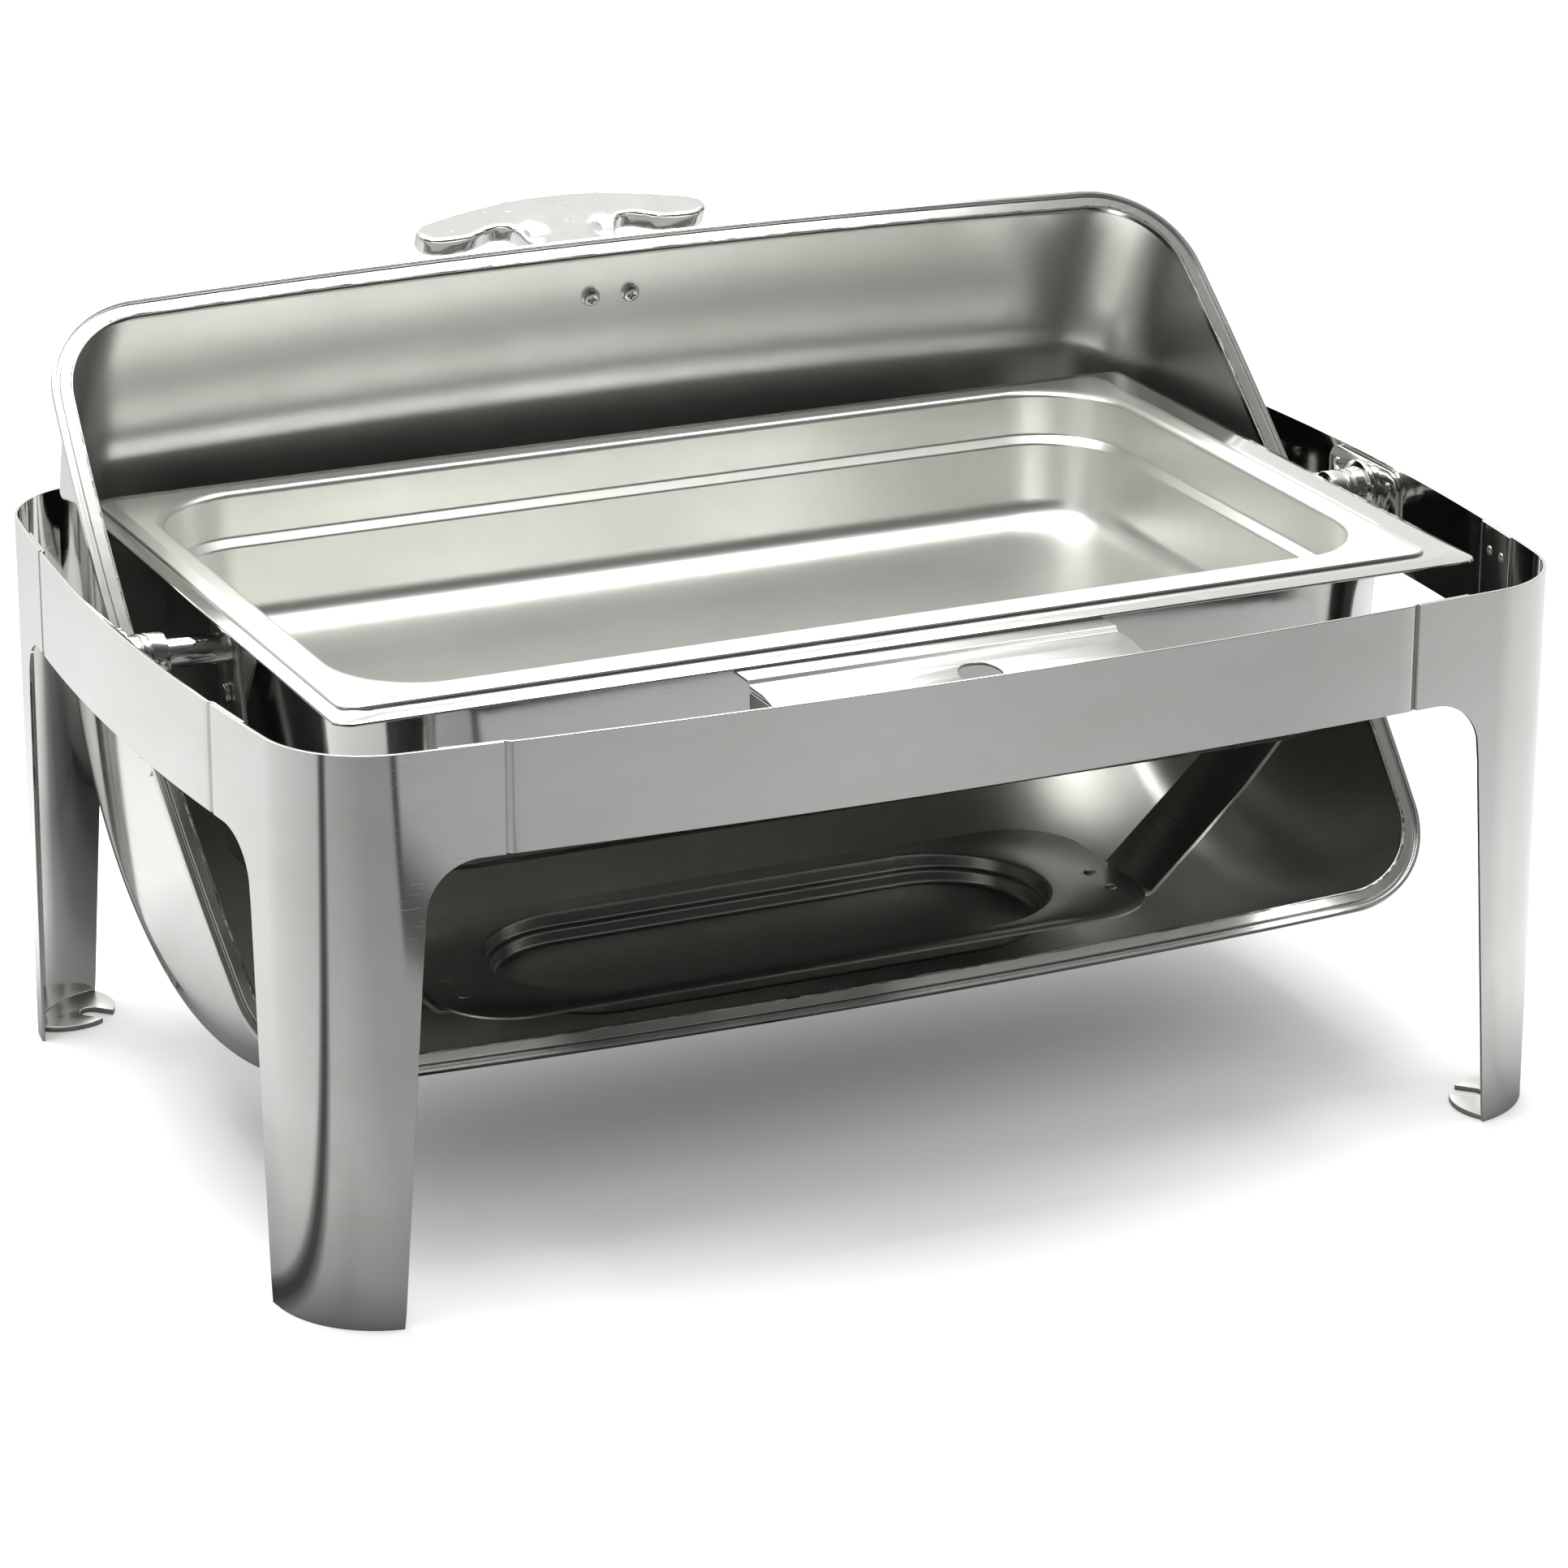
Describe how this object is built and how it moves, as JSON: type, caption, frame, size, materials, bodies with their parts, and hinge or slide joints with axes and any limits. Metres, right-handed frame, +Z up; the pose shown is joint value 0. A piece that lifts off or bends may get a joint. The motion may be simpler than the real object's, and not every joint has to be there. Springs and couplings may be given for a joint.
{
  "type": "chafing dish",
  "caption": "Full-size roll-top chafing dish: polished steel frame on splayed legs, food pan over a water pan, fuel shelf below, and a barrel lid that rolls back behind the pans.",
  "frame": {"origin": "centre of the frame's footprint, on the surface it stands on", "axes": "+X along the length, -Y towards the serving side, +Z up"},
  "size_m": [0.642, 0.4888, 0.3655],
  "materials": {
    "polished_steel": "mirror-polished stainless steel sheet",
    "satin_steel": "satin stainless steel sheet",
    "cast_chrome": "polished cast and turned steel",
    "fastener_steel": "plain steel fastener heads"
  },
  "bodies": {
    "frame": {"leg_front_right": "polished_steel", "foot_plate_front_right": "satin_steel", "leg_rear_right": "polished_steel", "foot_plate_rear_right": "satin_steel", "leg_front_left": "polished_steel", "foot_plate_front_left": "satin_steel", "leg_rear_left": "polished_steel", "foot_plate_rear_left": "satin_steel", "rail_front": "polished_steel", "rail_rear": "polished_steel", "rail_left": "polished_steel", "rail_right": "polished_steel", "frame_studs": "fastener_steel", "pivot_plate_right": "satin_steel", "pivot_boss_right": "cast_chrome", "pivot_collar_right": "cast_chrome", "axle_tube_right": "polished_steel", "pivot_studs_right": "fastener_steel", "pivot_washers_right": "fastener_steel", "pan_bracket_right": "satin_steel", "shelf_strap_right": "satin_steel", "strap_bolt_right": "fastener_steel", "pivot_plate_left": "satin_steel", "pivot_boss_left": "cast_chrome", "pivot_collar_left": "cast_chrome", "axle_tube_left": "polished_steel", "pivot_studs_left": "fastener_steel", "pivot_washers_left": "fastener_steel", "pan_bracket_left": "satin_steel", "shelf_strap_left": "satin_steel", "strap_bolt_left": "fastener_steel", "fuel_shelf": "satin_steel", "shelf_rivets": "fastener_steel", "front_bridge": "satin_steel"},
    "lid": {"lid_shell": "polished_steel", "lid_ear_left": "satin_steel", "lid_ear_right": "satin_steel", "ear_rivets": "fastener_steel", "handle": "cast_chrome", "handle_screws": "fastener_steel", "handle_washers": "fastener_steel"},
    "water_pan": {"water_pan": "polished_steel"},
    "food_pan": {"food_pan": "satin_steel"}
  },
  "joints": [
    {"name": "lid_hinge", "type": "hinge", "parent": "frame", "child": "lid", "pos_m": [0, 0, 0.2436], "axis": [1, 0, 0], "range_deg": [-14, 136.6]},
    {"name": "water_pan_lift", "type": "slide", "parent": "frame", "child": "water_pan", "axis": [0, 0, 1], "range_m": [0, 0.04]},
    {"name": "food_pan_lift", "type": "slide", "parent": "water_pan", "child": "food_pan", "axis": [0, -0.1045, 0.9945], "range_m": [0, 0.33]}
  ]
}
